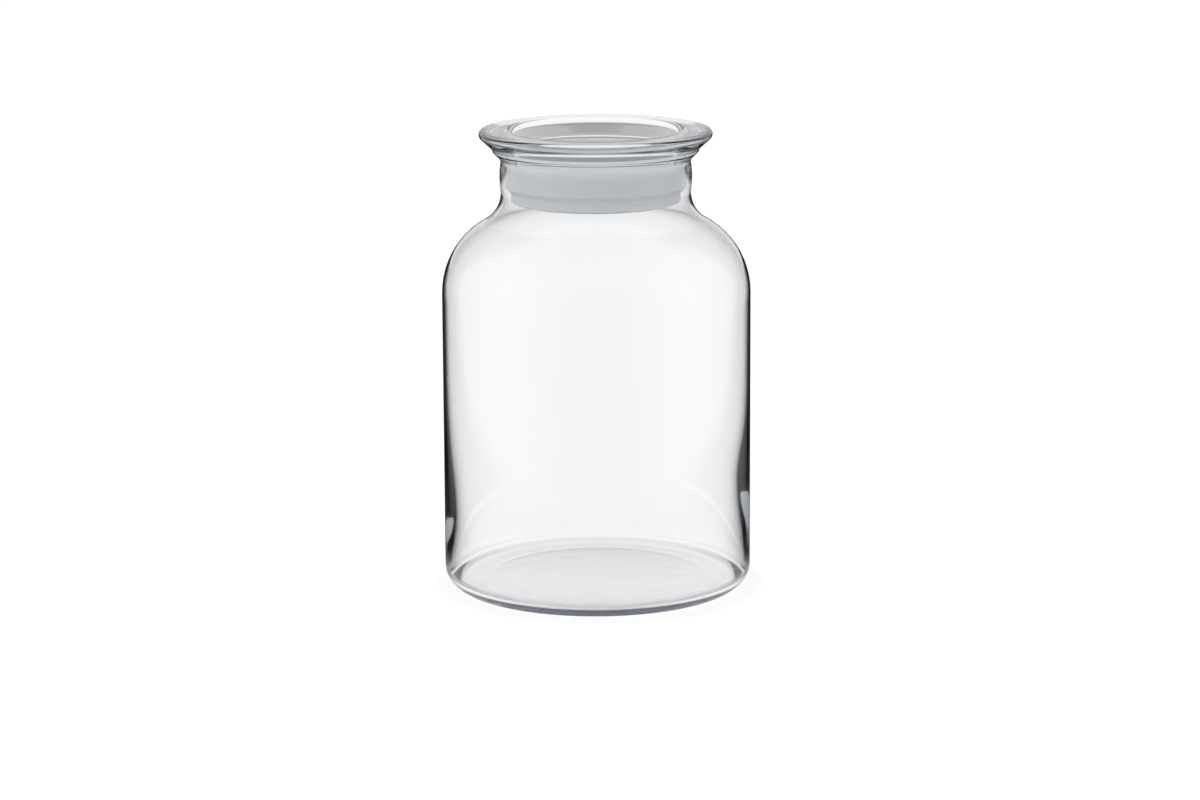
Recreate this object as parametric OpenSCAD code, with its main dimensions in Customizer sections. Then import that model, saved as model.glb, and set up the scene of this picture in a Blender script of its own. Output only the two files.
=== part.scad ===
// A lidded glass jar: a blown glass jar with a narrow neck, a glass stopper lid,
// and a soft seal ring that sits round the lid's plug and slides in the neck.
// Millimetres. The origin is the middle of the base on the table, with +Z up.

/* [Jar] */
// Outer diameter of the straight body
body_d = 105; // [90:1:126]
// Height from the table to the top of the lip
jar_h = 151.5; // [126:0.5:182]
// Thickness of the body's wall
body_wall = 2; // [1.4:0.1:3]
// Thickness of the floor over the standing ring
floor_t = 3; // [2:0.1:5]
// Radius of the rounded foot
foot_r = 7.6; // [5:0.1:12]
// Width of the flat ring that the jar stands on
ring_w = 7; // [4:0.5:12]
// Rise of the floor in the middle
push_up = 1.2; // [0.4:0.1:2]
// Radius of the rounded shoulder
shoulder_r = 27.8; // [24:0.1:32]
// Radius of the hollow curve between shoulder and neck
throat_r = 11.5; // [9:0.1:14]

/* [Neck and lip] */
// Outer diameter of the neck
neck_d = 64.4; // [54:0.1:77]
// Thickness of the neck's wall
neck_wall = 1.45; // [1.2:0.05:2.4]
// Height of the neck's upright stretch
neck_h = 10.4; // [8:0.1:14]
// Outward swell of the neck at mid height
neck_swell = 0.4; // [0.1:0.05:0.8]
// Reach of the lip past the neck
lip_reach = 2.8; // [2:0.1:4]
// Height of the lip's upright edge
lip_edge = 1; // [0.6:0.1:2]
// Radius of the hollow under the lip
lip_fillet = 2; // [1:0.1:3]
// Radius of the lip's rounded inner corner
mouth_round = 0.8; // [0.4:0.1:1.2]

/* [Lid] */
// Height of the lid's top above the lip
lid_rise = 6.3; // [5:0.1:9]
// Reach of the lid's rim past the lip
rim_reach = 4.5; // [3:0.1:7]
// Radius of the rounded rim
rim_r = 1.7; // [1:0.1:2.2]
// Width of the seat past the lip, where the rim's underside starts to slope
seat_margin = 0.3; // [0.1:0.1:0.8]
// Depth of the plug below the seal's lower edge
plug_tip = 0.5; // [0.2:0.1:3]
// Slope of the plug's and the recess's sides, from upright
plug_draft = 7; // [4:0.5:8]
// Radius of the plug's lower corner
plug_round = 1.6; // [1:0.1:2.4]
// Thickness of the plug's wall, measured level
plug_wall = 2; // [1.6:0.1:3]
// Thickness of the plug's floor
plug_floor = 3.2; // [2.4:0.1:4.5]
// Radius of the rounded edge round the recess
opening_round = 2.6; // [1.5:0.1:3.2]
// Radius of the recess's lower corner
recess_round = 3; // [2:0.1:5]

/* [Seal] */
// Clearance between the seal's widest line and the neck's bore
seal_gap = 0.1; // [0.05:0.01:0.1]
// Thickness of the seal's sleeve
seal_wall = 0.9; // [0.7:0.05:1]
// Reach of the sealing band past the plug's side, level with the lip
band_reach = 1.45; // [1.2:0.05:2]
// Depth of the seal's top edge below the lip
seal_top = 1; // [0.6:0.1:2]
// Depth of the band's widest line below the lip
band_drop = 10; // [9:0.1:11]
// Radius of the band's barrel-shaped side
band_r = 15; // [13:0.5:20]
// Height of the barrel above its widest line
band_above = 5.5; // [4:0.1:6]
// Height of the barrel below its widest line
band_below = 2.6; // [1.5:0.1:3]
// Height of the slope from the band down to the waist
waist_step = 1.5; // [1:0.1:2]
// Height of the lower bead, from the waist to the seal's lower edge
bead_h = 4.2; // [3.6:0.1:5]
// Bulge of the lower bead past the sleeve
bead_bulge = 0.8; // [0.3:0.05:1]
// Radius of the bead's lower corner
bead_round = 1.2; // [0.6:0.1:1.4]

/* [Hidden] */
$fn = 160;
curve_steps = 14;
small_steps = 6;
clear_glass = [0.86, 0.91, 0.92, 0.4];
frosted_white = [0.83, 0.85, 0.87];

body_r = body_d / 2;
neck_r = neck_d / 2;
bore_r = neck_r - neck_wall;
lip_r = neck_r + lip_reach;
foot_x = body_r - foot_r;
ring_in = foot_x - ring_w;

// The underside of the lip slopes at 45 degrees from its edge to its hollow
lip_low = jar_h - lip_edge;
neck_top = lip_low - lip_reach + lip_fillet * (1 - cos(45)) - lip_fillet * sin(45);
neck_low = neck_top - neck_h;

// The shoulder's arc and the throat's arc meet at one slope, outside and inside
shoulder_x = body_r - shoulder_r;
throat_x = neck_r + throat_r;
inner_shoulder_r = shoulder_r - body_wall;
inner_throat_r = throat_r + neck_wall;
inner_foot_r = foot_r - body_wall;
outer_slope = acos((throat_x - shoulder_x) / (shoulder_r + throat_r));
inner_slope = acos((throat_x - shoulder_x) / (inner_shoulder_r + inner_throat_r));
shoulder_z = neck_low - (shoulder_r + throat_r) * sin(outer_slope);
inner_shoulder_z = neck_low - (inner_shoulder_r + inner_throat_r) * sin(inner_slope);

// The underside of the rim is a straight slope that touches the rim's circle
lid_top = jar_h + lid_rise;
seat_r = lip_r + seat_margin;
rim_x = lip_r + rim_reach - rim_r;
rim_z = lid_top - rim_r;
rim_far = norm([rim_x - seat_r, rim_z - jar_h]);
rim_slope = atan2(rim_z - jar_h, rim_x - seat_r) - asin(rim_r / rim_far);

// Depths of the seal and the plug below the lip
waist_drop = band_drop + band_below + waist_step;
seal_foot = waist_drop + bead_h;
plug_depth = seal_foot + plug_tip;
band_max = bore_r - seal_gap;
plug_top_r = band_max - band_reach;
recess_depth = plug_depth - plug_floor;

// Radius of the plug's side at a depth below the lip
function plug_side(drop) = plug_top_r - drop * tan(plug_draft);

// Radius of the recess's side at a depth below the lip
function recess_side(drop) = plug_side(drop) - plug_wall;

// Radius of the barrel-shaped band at a height above its widest line
function band_side(rise) = band_max - band_r + sqrt(band_r * band_r - rise * rise);

// Points along an arc in the section plane, from angle a to angle b
function arc(x, z, r, a, b, steps) =
    [for (i = [0 : steps]) let (t = a + (b - a) * i / steps) [x + r * cos(t), z + r * sin(t)]];

// A slightly domed floor, as points from radius 0 to the radius given
function dome(r, z) =
    [for (i = [0 : small_steps]) let (t = i / small_steps) [r * t, z + push_up * (1 - t * t)]];

function reversed(points) = [for (i = [len(points) - 1 : -1 : 0]) points[i]];

// The jar's outside, from the middle of the base to the lip
function jar_outside() = concat(
    dome(ring_in, 0),
    arc(foot_x, foot_r, foot_r, -90, 0, curve_steps),
    arc(shoulder_x, shoulder_z, shoulder_r, 0, outer_slope, curve_steps),
    arc(throat_x, neck_low, throat_r, 180 + outer_slope, 180, curve_steps),
    [for (i = [1 : curve_steps - 1]) let (t = i / curve_steps)
        [neck_r + neck_swell * sin(180 * t), neck_low + neck_h * t]],
    arc(neck_r + lip_fillet, neck_top, lip_fillet, 180, 135, small_steps),
    [[lip_r, lip_low], [lip_r, jar_h]]
);

// The jar's inside, from the mouth down to the middle of the floor
function jar_inside() = concat(
    arc(bore_r + mouth_round, jar_h - mouth_round, mouth_round, 90, 180, small_steps),
    arc(throat_x, neck_low, inner_throat_r, 180, 180 + inner_slope, curve_steps),
    arc(shoulder_x, inner_shoulder_z, inner_shoulder_r, inner_slope, 0, curve_steps),
    arc(foot_x, floor_t + inner_foot_r, inner_foot_r, 0, -90, curve_steps),
    reversed(dome(ring_in, floor_t))
);

// The lid's outside, from the middle of the plug up to the rim
function lid_outside() = concat(
    [[0, jar_h - plug_depth]],
    arc(
        plug_side(plug_depth - plug_round * (1 - sin(plug_draft))) - plug_round * cos(plug_draft),
        jar_h - plug_depth + plug_round, plug_round, -90, -plug_draft, small_steps
    ),
    [[plug_top_r, jar_h], [seat_r, jar_h]],
    arc(rim_x, rim_z, rim_r, rim_slope - 90, 90, curve_steps)
);

// The lid's top and its recess, down to the middle of the recess's floor
function lid_inside() = concat(
    arc(
        recess_side(opening_round * (1 - sin(plug_draft)) - lid_rise) + opening_round * cos(plug_draft),
        lid_top - opening_round, opening_round, 90, 180 - plug_draft, curve_steps
    ),
    arc(
        recess_side(recess_depth - recess_round * (1 - sin(plug_draft))) - recess_round * cos(plug_draft),
        jar_h - recess_depth + recess_round, recess_round, -plug_draft, -90, small_steps
    ),
    [[0, jar_h - recess_depth]]
);

// The seal's outside, from its lower edge up: bead, waist, barrel-shaped band and sleeve
function seal_outside() = concat(
    arc(
        plug_side(seal_foot) + seal_wall + bead_bulge - bead_round,
        jar_h - seal_foot + bead_round, bead_round, -90, 0, small_steps
    ),
    [[plug_side(waist_drop) + seal_wall, jar_h - waist_drop]],
    [for (i = [0 : curve_steps]) let (rise = -band_below + (band_above + band_below) * i / curve_steps)
        [band_side(rise), jar_h - band_drop + rise]],
    [[plug_side(seal_top) + seal_wall, jar_h - seal_top]]
);

// The seal's inside lies against the plug
function seal_inside() = [
    [plug_side(seal_top), jar_h - seal_top],
    [plug_side(seal_foot), jar_h - seal_foot]
];

module lathe(outline) {
    rotate_extrude() polygon(outline);
}

module glass_jar() {
    color(clear_glass) lathe(concat(jar_outside(), jar_inside()));
}

module glass_lid() {
    color(clear_glass) lathe(concat(lid_outside(), lid_inside()));
}

module seal_ring() {
    color(frosted_white) lathe(concat(seal_outside(), seal_inside()));
}

glass_jar();
glass_lid();
seal_ring();
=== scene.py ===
"""A clear glass storage jar with a glass stopper lid and a frosted seal ring, on a white ground."""

import math

import bmesh
import bpy
from mathutils import Matrix, Vector


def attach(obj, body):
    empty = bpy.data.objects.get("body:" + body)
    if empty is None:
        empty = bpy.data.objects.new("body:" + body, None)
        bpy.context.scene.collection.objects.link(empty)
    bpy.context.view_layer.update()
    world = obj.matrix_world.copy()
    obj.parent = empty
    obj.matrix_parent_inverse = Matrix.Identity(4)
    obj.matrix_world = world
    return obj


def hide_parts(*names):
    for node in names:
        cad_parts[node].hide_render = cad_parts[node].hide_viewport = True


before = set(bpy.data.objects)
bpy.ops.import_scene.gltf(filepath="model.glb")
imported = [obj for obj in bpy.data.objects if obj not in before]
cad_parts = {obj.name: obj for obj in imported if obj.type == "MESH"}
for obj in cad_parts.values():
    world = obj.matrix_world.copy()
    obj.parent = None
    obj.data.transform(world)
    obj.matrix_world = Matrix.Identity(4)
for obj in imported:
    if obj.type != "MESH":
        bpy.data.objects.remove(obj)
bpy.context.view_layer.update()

# Metres in a millimetre
MM = 0.001

# Jar, in millimetres, as constructed, apart from its thinner wall, sharper inner foot and rounded lip
BODY_R = 52.5
JAR_H = 151.5
BODY_WALL = 1.25
FLOOR_T = 3.0
FOOT_R = 7.6
INNER_FOOT_R = 1.2
RING_W = 7.0
PUSH_UP = 1.2
SHOULDER_R = 27.8
THROAT_R = 11.5
NECK_R = 32.2
NECK_WALL = 1.45
NECK_H = 10.4
NECK_SWELL = 0.4
LIP_REACH = 2.8
LIP_EDGE = 1.0
LIP_FILLET = 2.0
LIP_ROUND = 0.35
MOUTH_ROUND = 0.8
# Slope of the lip's underside in degrees, at which it drops as far as it reaches
LIP_SLOPE = 45

# Blown wall: how much thicker it is low down, and the heights between which that fades out
LOW_WALL = 0.3
LOW_WALL_TO = (14, 70)
# Thick spots low in the wall: angle round the jar, middle height, reach below and above, and most added
THICK_SPOTS = (
    (math.pi, 27, 14, 20, 0.8),
    (0, 38, 18, 14, 1.0),
)
SPOT_WIDTH = math.radians(25)
# Height over the floor at which the wall starts to be uneven
UNEVEN_FROM = 1.0

# Lid, as constructed, apart from a hair of air over the lip
LID_RISE = 6.3
RIM_REACH = 4.5
RIM_R = 1.7
SEAT_MARGIN = 0.3
SEAT_AIR = 0.06
PLUG_TIP = 0.5
PLUG_DRAFT = math.radians(7)
PLUG_ROUND = 1.6
PLUG_WALL = 2.0
PLUG_FLOOR = 3.2
OPENING_ROUND = 2.6
RECESS_ROUND = 3.0

# Seal, as constructed, apart from a hair of air off the plug
SEAL_GAP = 0.1
SEAL_WALL = 0.9
SEAL_AIR = 0.04
BAND_REACH = 1.45
SEAL_TOP = 1.0
BAND_DROP = 10.0
BAND_R = 15.0
BAND_ABOVE = 5.5
BAND_BELOW = 2.6
WAIST_STEP = 1.5
BEAD_H = 4.2
BEAD_BULGE = 0.8
BEAD_ROUND = 1.2

# Meshing: steps round the axis, longest steps along a straight stretch and an arc, and the fewest of each
TURNS = 288
STEP = 1.2
ARC_STEP = math.radians(6)
FEWEST_STEPS = 2
FEWEST_ARC_STEPS = 3
SWELL_STEPS = 20
SAME_POINT = 1e-4
ON_AXIS = 1e-6
SHARP = math.radians(30)

# Waves in the glass and grain in the seal: stretch by axis, scale per metre, detail and height in metres
JAR_WAVES = ((1, 1, 0.15), 60, 1.0, 0.00006)
LID_WAVES = ((1, 1, 1), 90, 1.0, 0.00003)
SEAL_GRAIN = ((1, 1, 1), 2500, 2.0, 0.00001)

# Glass: its index, its tint, and the tint's density per metre in jar and lid
GLASS_IOR = 1.52
GLASS_TINT = (0.79, 0.82, 0.87, 1)
JAR_TINT_DENSITY = 40.0
LID_TINT_DENSITY = 20.0

# Seal: its index, the share and reach in metres of the light that scatters in it, and its range of roughness
SEAL_IOR = 1.5
SEAL_SCATTER = 0.2
SEAL_SCATTER_REACH = 0.004
SEAL_ROUGHNESS = (0.38, 0.55)
# Its two shades in the grain, the lighter shade of its thin sleeve, which is painted light for the light
# shining through it, and the heights in metres at which that sets in
SEAL_DARK = (0.42, 0.445, 0.47, 1)
SEAL_LIGHT = (0.50, 0.525, 0.55, 1)
SEAL_SLEEVE_PAINTED_LIGHT = (0.60, 0.62, 0.64, 1)
SEAL_PAINTED_LIGHT_FROM = (0.1445, 0.1475)

# Camera: place in metres, lens and sensor in millimetres, clip distances and angles
CAMERA_AT = Vector((0, -1.268, 0.331))
CAMERA_LENS = 113.5
CAMERA_SENSOR = 36
CAMERA_CLIP = (0.05, 20)
CAMERA_PITCH = math.radians(11.88)
CAMERA_YAW = math.radians(-0.0485)
CAMERA_ROLL = math.radians(-0.27)

# Most bounces of light in all and through glass, and of those off glass
MOST_BOUNCES = 32
MOST_GLOSSY_BOUNCES = 16

WHITE = (1, 1, 1, 1)

# Floor: size and height in metres, its own shade and glow
FLOOR_SIZE = 8
FLOOR_Z = -0.0002
FLOOR_WHITE = 0.3
FLOOR_GLOW = 0.74

# The ramps below are given as where they start and end, and their values there.
# What glass mirrors: light all round from the camera's side to the far side, another value overhead, and a
# dark part of the floor, which starts under the jar and widens behind it from an apex in front of it
MIRRORED_ROUND = (-0.9, -0.3, 0.38, 0.72)
MIRRORED_OVERHEAD = 0.5
OVERHEAD_FROM = (0.5, 0.9, 0, 1)
DARK_FLOOR = 0.02
WEDGE_APEX = 0.25
DARK_WEDGE = (0.88, 0.95, 0, 1)
DARK_FROM = (-0.01, 0.04, 0, 1)

# The dark above the backdrop, in what shows through glass
DARK_ABOVE = 0.33
ABOVE_FROM = (0.15, 0.3, 0, 1)
ABOVE_TO = (0.7, 0.85, 1, 0)
ABOVE_BEHIND = (-0.1, 0.2, 0, 1)

# The side that matt pieces are lit from, and their light from the far side to the near one
LIT_FROM = (-0.35, -0.8, 0.48)
LIT_RANGE = (-0.6, 1.0, 0.3, 1.5)

# Sizes that follow from those above
BORE_R = NECK_R - NECK_WALL
LIP_R = NECK_R + LIP_REACH
FOOT_X = BODY_R - FOOT_R
RING_IN = FOOT_X - RING_W
LIP_LOW = JAR_H - LIP_EDGE
LIP_TILT = math.radians(LIP_SLOPE)
NECK_TOP = LIP_LOW - LIP_REACH + LIP_FILLET * (1 - math.cos(LIP_TILT) - math.sin(LIP_TILT))
NECK_LOW = NECK_TOP - NECK_H
SHOULDER_X = BODY_R - SHOULDER_R
THROAT_X = NECK_R + THROAT_R
LID_TOP = JAR_H + LID_RISE
SEAT_R = LIP_R + SEAT_MARGIN
SEAT_Z = JAR_H + SEAT_AIR
WAIST_DROP = BAND_DROP + BAND_BELOW + WAIST_STEP
SEAL_FOOT = WAIST_DROP + BEAD_H
PLUG_DEPTH = SEAL_FOOT + PLUG_TIP
BAND_MAX = BORE_R - SEAL_GAP
PLUG_TOP_R = BAND_MAX - BAND_REACH
RECESS_DEPTH = PLUG_DEPTH - PLUG_FLOOR


def arc(x, z, r, start, end):
    """Points along an arc in the section plane, between two angles in degrees."""
    a, b = math.radians(start), math.radians(end)
    steps = max(FEWEST_ARC_STEPS, math.ceil(abs(b - a) / ARC_STEP))
    turns = [a + (b - a) * i / steps for i in range(steps + 1)]
    return [(x + r * math.cos(turn), z + r * math.sin(turn)) for turn in turns]


def line(*corners):
    """Points along straight stretches, closely spaced so that smooth shading stays flat between them."""
    points = []
    for p, q in zip(corners, corners[1:]):
        steps = max(FEWEST_STEPS, math.ceil(math.dist(p, q) / STEP))
        for i in range(steps):
            points.append((p[0] + (q[0] - p[0]) * i / steps, p[1] + (q[1] - p[1]) * i / steps))
    return points + [corners[-1]]


def joined(*stretches):
    """One outline from several stretches, without doubled points."""
    points = []
    for stretch in stretches:
        for p in stretch:
            if not points or math.dist(p, points[-1]) > SAME_POINT:
                points.append(p)
    return points


def dome(r, z):
    """A slightly domed floor, from the axis out to radius r."""
    steps = math.ceil(r / STEP)
    return [(r * i / steps, z + PUSH_UP * (1 - (i / steps) ** 2)) for i in range(steps + 1)]


def meeting(shoulder, throat):
    """Slope in degrees where a shoulder arc and a throat arc meet, and the height of the shoulder arc."""
    slope = math.acos((THROAT_X - SHOULDER_X) / (shoulder + throat))
    return math.degrees(slope), NECK_LOW - (shoulder + throat) * math.sin(slope)


def jar_outside():
    """The jar's outside, from the middle of the base up to the lip and in to the mouth."""
    slope, shoulder_z = meeting(SHOULDER_R, THROAT_R)
    rises = [i / SWELL_STEPS for i in range(SWELL_STEPS + 1)]
    swell = [(NECK_R + NECK_SWELL * math.sin(math.pi * t), NECK_LOW + NECK_H * t) for t in rises]
    hollow = arc(NECK_R + LIP_FILLET, NECK_TOP, LIP_FILLET, 180, 180 - LIP_SLOPE)
    edge_x = LIP_R - LIP_ROUND
    edge = joined(
        arc(edge_x, LIP_LOW + LIP_ROUND * math.tan(LIP_TILT / 2), LIP_ROUND, -LIP_SLOPE, 0),
        arc(edge_x, JAR_H - LIP_ROUND, LIP_ROUND, 0, 90),
    )
    return joined(
        dome(RING_IN, 0),
        line((RING_IN, 0), (FOOT_X, 0)),
        arc(FOOT_X, FOOT_R, FOOT_R, -90, 0),
        line((BODY_R, FOOT_R), (BODY_R, shoulder_z)),
        arc(SHOULDER_X, shoulder_z, SHOULDER_R, 0, slope),
        arc(THROAT_X, NECK_LOW, THROAT_R, 180 + slope, 180),
        swell,
        hollow,
        line(hollow[-1], edge[0]),
        edge,
        line(edge[-1], (BORE_R + MOUTH_ROUND, JAR_H))[:-1],
    )


def jar_inside():
    """The jar's inside, from the mouth down to the middle of the floor."""
    shoulder, throat = SHOULDER_R - BODY_WALL, THROAT_R + NECK_WALL
    slope, shoulder_z = meeting(shoulder, throat)
    wall = BODY_R - BODY_WALL
    corner_x, corner_z = wall - INNER_FOOT_R, FLOOR_T + INNER_FOOT_R
    return joined(
        arc(BORE_R + MOUTH_ROUND, JAR_H - MOUTH_ROUND, MOUTH_ROUND, 90, 180),
        line((BORE_R, JAR_H - MOUTH_ROUND), (BORE_R, NECK_LOW)),
        arc(THROAT_X, NECK_LOW, throat, 180, 180 + slope),
        arc(SHOULDER_X, shoulder_z, shoulder, slope, 0),
        line((wall, shoulder_z), (wall, corner_z)),
        arc(corner_x, corner_z, INNER_FOOT_R, 0, -90),
        line((corner_x, FLOOR_T), (RING_IN, FLOOR_T)),
        dome(RING_IN, FLOOR_T)[::-1],
    )


def plug_side(drop):
    """Radius of the plug's side at a depth below the lip."""
    return PLUG_TOP_R - drop * math.tan(PLUG_DRAFT)


def corner_centre(depth, radius):
    """Radius at which a rounded corner at the foot of the plug's side has its centre."""
    return plug_side(depth - radius * (1 - math.sin(PLUG_DRAFT))) - radius * math.cos(PLUG_DRAFT)


def lid_rim():
    """The lid's rounded rim, from where it meets its sloped underside to its top."""
    x, z = LIP_R + RIM_REACH - RIM_R, LID_TOP - RIM_R
    far = math.dist((x, z), (SEAT_R, SEAT_Z))
    slope = math.degrees(math.atan2(z - SEAT_Z, x - SEAT_R) - math.asin(RIM_R / far))
    return arc(x, z, RIM_R, slope - 90, 90)


def lid_outline():
    """The lid's section, from the middle of the plug up the outside and down into the recess."""
    draft = math.degrees(PLUG_DRAFT)
    plug_z, floor_z = JAR_H - PLUG_DEPTH, JAR_H - RECESS_DEPTH
    corner = arc(corner_centre(PLUG_DEPTH, PLUG_ROUND), plug_z + PLUG_ROUND, PLUG_ROUND, -90, -draft)
    rim = lid_rim()
    recess_side = plug_side(OPENING_ROUND * (1 - math.sin(PLUG_DRAFT)) - LID_RISE) - PLUG_WALL
    opening_x = recess_side + OPENING_ROUND * math.cos(PLUG_DRAFT)
    opening = arc(opening_x, LID_TOP - OPENING_ROUND, OPENING_ROUND, 90, 180 - draft)
    bottom_x = corner_centre(RECESS_DEPTH, RECESS_ROUND) - PLUG_WALL
    bottom = arc(bottom_x, floor_z + RECESS_ROUND, RECESS_ROUND, -draft, -90)
    return joined(
        line((0, plug_z), corner[0]),
        corner,
        line(corner[-1], (PLUG_TOP_R, SEAT_Z), (SEAT_R, SEAT_Z), rim[0]),
        rim,
        line(rim[-1], opening[0]),
        opening,
        line(opening[-1], bottom[0]),
        bottom,
        line(bottom[-1], (0, floor_z)),
    )


def by_plug(drop, off):
    """The point at a depth below the lip that stands a distance off the plug's side."""
    return plug_side(drop) + off, JAR_H - drop


def seal_outline():
    """The seal's closed section: bead, waist, barrel-shaped band, sleeve and the side against the plug."""
    bead_x = plug_side(SEAL_FOOT) + SEAL_WALL + BEAD_BULGE - BEAD_ROUND
    bead = arc(bead_x, JAR_H - SEAL_FOOT + BEAD_ROUND, BEAD_ROUND, -90, 0)
    low = -math.degrees(math.asin(BAND_BELOW / BAND_R))
    high = math.degrees(math.asin(BAND_ABOVE / BAND_R))
    band = arc(BAND_MAX - BAND_R, JAR_H - BAND_DROP, BAND_R, low, high)
    inner_top, inner_foot = by_plug(SEAL_TOP, SEAL_AIR), by_plug(SEAL_FOOT, SEAL_AIR)
    return joined(
        bead,
        line(bead[-1], by_plug(WAIST_DROP, SEAL_WALL), band[0]),
        band,
        line(band[-1], by_plug(SEAL_TOP, SEAL_WALL), inner_top, inner_foot, bead[0]),
    )[:-1]


def step_up(value, low, high):
    """A smooth step from 0 at low to 1 at high."""
    t = min(1, max(0, (value - low) / (high - low)))
    return t * t * (3 - 2 * t)


def bump_over(z, middle, below, above):
    """A smooth bump of height 1 over the height z, with its own reach below and above the middle."""
    return math.exp(-((z - middle) / (below if z < middle else above)) ** 2)


def bump_round(angle, middle):
    """A smooth bump of height 1 over the angle round the jar."""
    away = (angle - middle + math.pi) % (2 * math.pi) - math.pi
    return math.exp(-(away / SPOT_WIDTH) ** 2)


def added_wall(z, angle):
    """How much thicker than even the blown wall is, by height and angle round the jar."""
    thick = LOW_WALL * (1 - step_up(z, *LOW_WALL_TO)) + sum(
        most * bump_over(z, middle, below, above) * bump_round(angle, at)
        for at, middle, below, above, most in THICK_SPOTS
    )
    return thick * step_up(z, FLOOR_T + UNEVEN_FROM, FLOOR_T + FOOT_R)


def is_wall(r, z):
    """Whether a point of the jar's inside is on its wall, and not on its domed floor."""
    return r > RING_IN or z > JAR_H / 2


def ring_at(mesh, r, z, uneven):
    """The vertices of one turn round the Z axis, or the single one on it."""
    if r < ON_AXIS:
        return [mesh.verts.new((0, 0, z * MM))]
    ring = []
    for k in range(TURNS):
        angle = 2 * math.pi * k / TURNS
        far = (r - (added_wall(z, angle) if uneven else 0)) * MM
        ring.append(mesh.verts.new((far * math.cos(angle), far * math.sin(angle), z * MM)))
    return ring


def lathe(name, outline, inside=(), closed=False):
    """Turns an outline of (radius, height) round the Z axis, and an inside whose wall is uneven."""
    mesh = bmesh.new()
    rings = [ring_at(mesh, r, z, False) for r, z in outline]
    rings += [ring_at(mesh, r, z, is_wall(r, z)) for r, z in inside]
    pairs = list(zip(rings, rings[1:]))
    if closed:
        pairs.append((rings[-1], rings[0]))
    for low, high in pairs:
        for k in range(TURNS):
            n = (k + 1) % TURNS
            face = [low[k % len(low)], low[n % len(low)], high[n % len(high)], high[k % len(high)]]
            mesh.faces.new(list(dict.fromkeys(face)))
    bmesh.ops.recalc_face_normals(mesh, faces=mesh.faces)
    data = bpy.data.meshes.new(name)
    mesh.to_mesh(data)
    mesh.free()
    data.shade_smooth()
    data.set_sharp_from_angle(angle=SHARP)
    piece = bpy.data.objects.new(name, data)
    bpy.context.scene.collection.objects.link(piece)
    return piece


def feed(tree, socket, value):
    """Gives a socket a value of its own, or a link from another socket."""
    if isinstance(value, bpy.types.NodeSocket):
        tree.links.new(value, socket)
    else:
        socket.default_value = value


def add_node(tree, kind, inputs=None, **settings):
    """A new node with its settings, and with values or links for its inputs."""
    made = tree.nodes.new(kind)
    for name, setting in settings.items():
        setattr(made, name, setting)
    for place, value in (inputs or {}).items():
        feed(tree, made.inputs[place], value)
    return made


def number(tree, operation, first, second):
    """The result of a Math node on two inputs, which are sockets or numbers."""
    return add_node(tree, "ShaderNodeMath", {0: first, 1: second}, operation=operation).outputs[0]


def product(tree, first, *others):
    """The product of two or more sockets."""
    for other in others:
        first = number(tree, "MULTIPLY", first, other)
    return first


def chosen(tree, factor, without, with_it):
    """A number that is one value where factor is 0 and another where it is 1."""
    return add_node(tree, "ShaderNodeMix", {"Factor": factor, "A": without, "B": with_it}).outputs[0]


def blended(tree, factor, without, with_it):
    """A colour that is one value where factor is 0 and another where it is 1."""
    inputs = {"Factor": factor, "A": without, "B": with_it}
    return add_node(tree, "ShaderNodeMix", inputs, data_type="RGBA").outputs["Result"]


def ramp(tree, value, low, high, low_value, high_value):
    """A number that goes from one value to another while its input goes from low to high."""
    ends = {"From Min": low, "From Max": high, "To Min": low_value, "To Max": high_value}
    return add_node(tree, "ShaderNodeMapRange", {"Value": value, **ends}).outputs[0]


def axis(tree, vector, letter):
    """One part of a vector, by its axis."""
    return add_node(tree, "ShaderNodeSeparateXYZ", {0: vector}).outputs[letter]


def on_object(tree):
    """The place on the object itself, in metres."""
    return add_node(tree, "ShaderNodeTexCoord").outputs["Object"]


def material(name, values):
    """A new node material with values for its Principled shader, and that shader."""
    made = bpy.data.materials.new(name)
    made.use_nodes = True
    shader = made.node_tree.nodes["Principled BSDF"]
    for socket, value in values.items():
        shader.inputs[socket].default_value = value
    return made, shader


def grain(tree, shader, stretch, scale, detail, height):
    """Gives a shader a bump from noise that is fixed to the object, and returns that noise."""
    spread = add_node(tree, "ShaderNodeMapping", {"Vector": on_object(tree), "Scale": stretch})
    look = {"Vector": spread.outputs["Vector"], "Scale": scale, "Detail": detail}
    noise = add_node(tree, "ShaderNodeTexNoise", look).outputs["Fac"]
    bumped = add_node(tree, "ShaderNodeBump", {"Strength": 1.0, "Distance": height, "Height": noise})
    feed(tree, shader.inputs["Normal"], bumped.outputs["Normal"])
    return noise


def clear_glass(name, density, waves):
    """Clear glass with a cool tint in its depth and the faint drawn waves of blown or pressed glass."""
    made, shader = material(name, {
        "Base Color": WHITE,
        "Roughness": 0.0,
        "IOR": GLASS_IOR,
        "Transmission Weight": 1.0,
    })
    tree = made.node_tree
    grain(tree, shader, *waves)
    tint = add_node(tree, "ShaderNodeVolumeAbsorption", {"Color": GLASS_TINT, "Density": density})
    feed(tree, tree.nodes["Material Output"].inputs["Volume"], tint.outputs["Volume"])
    return made


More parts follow.
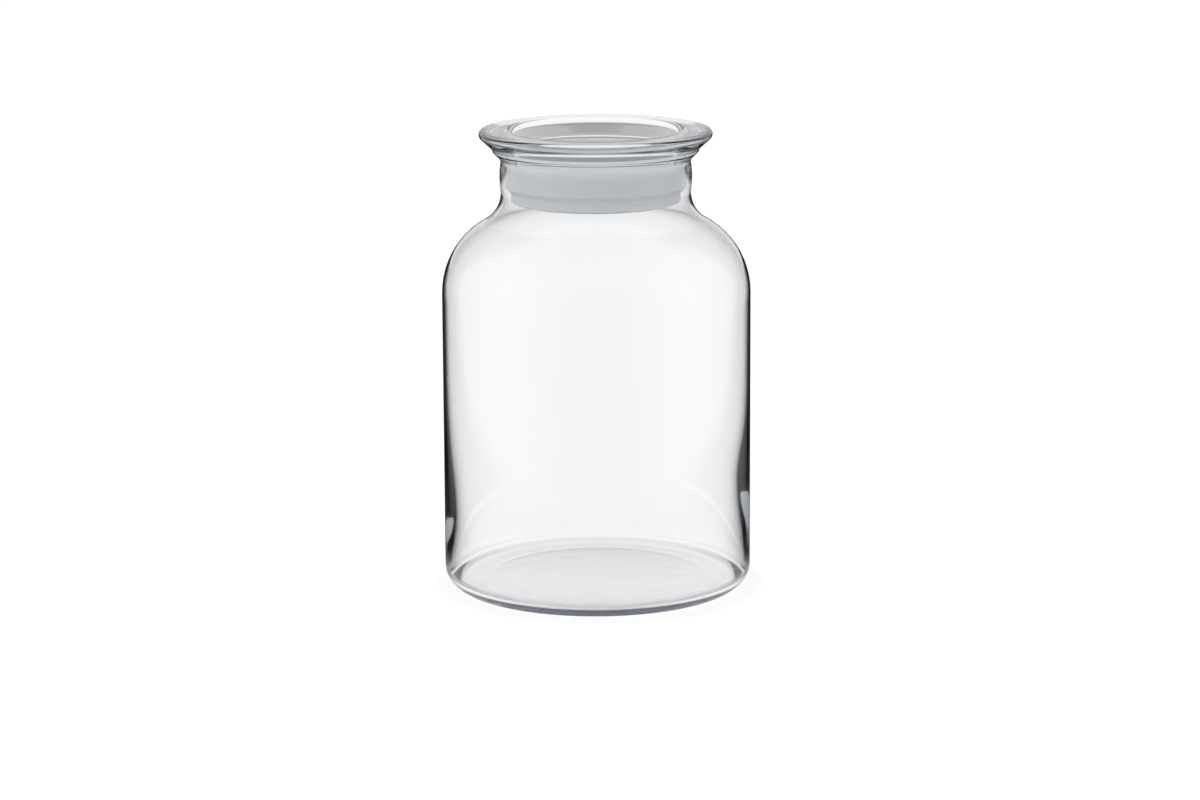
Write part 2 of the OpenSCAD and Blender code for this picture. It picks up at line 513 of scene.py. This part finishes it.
def frosted_plastic():
    """Soft translucent plastic with a fine grain, and painted light in its thin sleeve, for the light that
    shines through it.
    """
    made, shader = material("seal_plastic", {
        "IOR": SEAL_IOR,
        "Subsurface Weight": SEAL_SCATTER,
        "Subsurface Radius": (SEAL_SCATTER_REACH,) * 3,
        "Subsurface Scale": 1.0,
    })
    tree = made.node_tree
    noise = grain(tree, shader, *SEAL_GRAIN)
    # Painted light: the thin sleeve is coloured lighter, standing in for the light that shines through it
    sleeve = ramp(tree, axis(tree, on_object(tree), "Z"), *SEAL_PAINTED_LIGHT_FROM, 0, 1)
    shade = blended(tree, sleeve, blended(tree, noise, SEAL_DARK, SEAL_LIGHT), SEAL_SLEEVE_PAINTED_LIGHT)
    feed(tree, shader.inputs["Base Color"], shade)
    feed(tree, shader.inputs["Roughness"], ramp(tree, noise, 0, 1, *SEAL_ROUGHNESS))
    return made


def dress(piece, made, node, body):
    """Gives a piece its material and its place in the frame."""
    piece.data.materials.append(made)
    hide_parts(node)
    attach(piece, body)


def ray_kinds(tree):
    """Sockets, each 0 or 1: the ray lights a matt surface, met only clear ones, or was mirrored by one."""
    path = add_node(tree, "ShaderNodeLightPath").outputs
    matt = number(tree, "MINIMUM", path["Diffuse Depth"], 1)
    not_matt = number(tree, "MAXIMUM", path["Is Transmission Ray"], path["Is Glossy Ray"])
    clear = number(tree, "MAXIMUM", number(tree, "SUBTRACT", not_matt, matt), 0)
    mirrored = product(tree, clear, number(tree, "MINIMUM", path["Glossy Depth"], 1))
    return {"matt": matt, "clear": clear, "mirrored": mirrored}


def heading(tree, place, apex):
    """How straight a point of the floor lies behind a point on its middle line, from -1 to 1."""
    moved = add_node(tree, "ShaderNodeVectorMath", {0: place, 1: (0, apex, 0)})
    unit = add_node(tree, "ShaderNodeVectorMath", {0: moved.outputs["Vector"]}, operation="NORMALIZE")
    return axis(tree, unit.outputs["Vector"], "Y")


def add_world():
    """A white studio. What glass mirrors is darker than what shows through it, so its edges draw dark."""
    world = bpy.data.worlds.new("studio")
    bpy.context.scene.world = world
    world.use_nodes = True
    tree = world.node_tree
    way = add_node(tree, "ShaderNodeTexCoord").outputs["Generated"]
    height, depth = axis(tree, way, "Z"), axis(tree, way, "Y")
    kinds = ray_kinds(tree)

    facing = add_node(tree, "ShaderNodeVectorMath", {0: way, 1: LIT_FROM}, operation="DOT_PRODUCT")
    matt_light = ramp(tree, facing.outputs["Value"], *LIT_RANGE)
    shown = chosen(tree, kinds["matt"], 1, matt_light)

    up = product(tree, ramp(tree, height, *ABOVE_FROM), ramp(tree, height, *ABOVE_TO))
    above = product(tree, up, ramp(tree, depth, *ABOVE_BEHIND), kinds["clear"])
    shown = chosen(tree, above, shown, DARK_ABOVE)

    round_about = ramp(tree, depth, *MIRRORED_ROUND)
    mirrored = chosen(tree, ramp(tree, height, *OVERHEAD_FROM), round_about, MIRRORED_OVERHEAD)
    back = tree.nodes["Background"]
    feed(tree, back.inputs["Color"], WHITE)
    feed(tree, back.inputs["Strength"], chosen(tree, kinds["mirrored"], shown, mirrored))


def add_floor():
    """A white floor that keeps the jar's soft shadow, and draws dark in what the glass mirrors."""
    bpy.ops.mesh.primitive_plane_add(size=FLOOR_SIZE, location=(0, 0, FLOOR_Z))
    floor = bpy.context.object
    floor.name = "floor"
    made, shader = material("white_floor", {
        "Base Color": (FLOOR_WHITE, FLOOR_WHITE, FLOOR_WHITE, 1),
        "Roughness": 1.0,
        "Specular IOR Level": 0.0,
        "Emission Color": WHITE,
        "Emission Strength": FLOOR_GLOW,
    })
    tree = made.node_tree
    place = on_object(tree)
    wedge = ramp(tree, heading(tree, place, WEDGE_APEX), *DARK_WEDGE)
    dark = product(tree, wedge, ramp(tree, axis(tree, place, "Y"), *DARK_FROM))
    round_about = ramp(tree, heading(tree, place, 0), *MIRRORED_ROUND)
    strength = chosen(tree, dark, round_about, DARK_FLOOR)
    mirrored = add_node(tree, "ShaderNodeEmission", {"Strength": strength})
    both = add_node(tree, "ShaderNodeMixShader", {
        0: ray_kinds(tree)["mirrored"],
        1: shader.outputs[0],
        2: mirrored.outputs[0],
    })
    feed(tree, tree.nodes["Material Output"].inputs["Surface"], both.outputs[0])
    floor.data.materials.append(made)


def add_camera():
    """The photograph's viewpoint: a long lens, a little above the lid, with a slight roll."""
    camera = bpy.data.cameras.new("camera")
    camera.sensor_width = CAMERA_SENSOR
    camera.lens = CAMERA_LENS
    camera.clip_start, camera.clip_end = CAMERA_CLIP
    seen = bpy.data.objects.new("camera", camera)
    bpy.context.scene.collection.objects.link(seen)
    seen.matrix_world = (
        Matrix.Translation(CAMERA_AT)
        @ Matrix.Rotation(CAMERA_YAW, 4, "Z")
        @ Matrix.Rotation(math.pi / 2 - CAMERA_PITCH, 4, "X")
        @ Matrix.Rotation(CAMERA_ROLL, 4, "Z")
    )
    bpy.context.scene.camera = seen


scene = bpy.context.scene
scene.view_settings.view_transform = "Standard"
scene.cycles.max_bounces = MOST_BOUNCES
scene.cycles.transmission_bounces = MOST_BOUNCES
scene.cycles.glossy_bounces = MOST_GLOSSY_BOUNCES
scene.cycles.blur_glossy = 0

jar = lathe("jar_glass_shell", jar_outside(), jar_inside())
lid = lathe("lid_glass_shell", lid_outline())
seal = lathe("seal_ring_shell", seal_outline(), closed=True)
dress(jar, clear_glass("jar_glass", JAR_TINT_DENSITY, JAR_WAVES), "glass_jar", "jar")
dress(lid, clear_glass("lid_glass", LID_TINT_DENSITY, LID_WAVES), "glass_lid", "lid")
dress(seal, frosted_plastic(), "seal_ring", "lid")

add_camera()
add_world()
add_floor()
